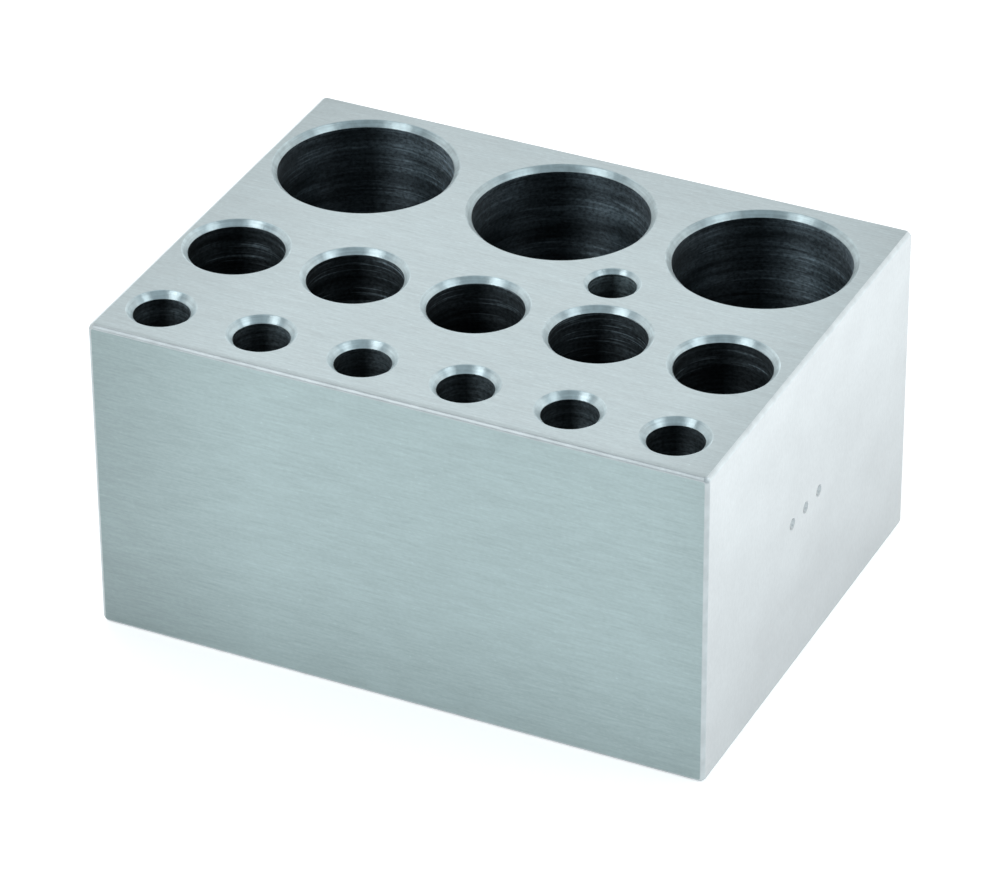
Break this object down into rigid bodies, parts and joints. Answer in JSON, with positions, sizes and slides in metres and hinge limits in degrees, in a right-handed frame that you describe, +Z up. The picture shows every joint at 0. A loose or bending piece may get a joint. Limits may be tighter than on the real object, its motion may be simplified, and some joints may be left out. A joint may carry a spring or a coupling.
{
  "type": "heat block insert",
  "caption": "Rectangular solid aluminium block with three rows of blind round tube wells in graded sizes and a thermometer well, for warming test tubes in a dry bath.",
  "frame": {"origin": "centre of the underside", "axes": "+Z up, +X along the rows of wells to the right, +Y to the back, where the large wells are"},
  "size_m": [0.0952, 0.0732, 0.0503],
  "materials": {
    "aluminium": "fine milled aluminium with straight grain along the block, turned rings in the wells and bright countersinks"
  },
  "bodies": {
    "root": {"block": "aluminium"}
  },
  "joints": []
}
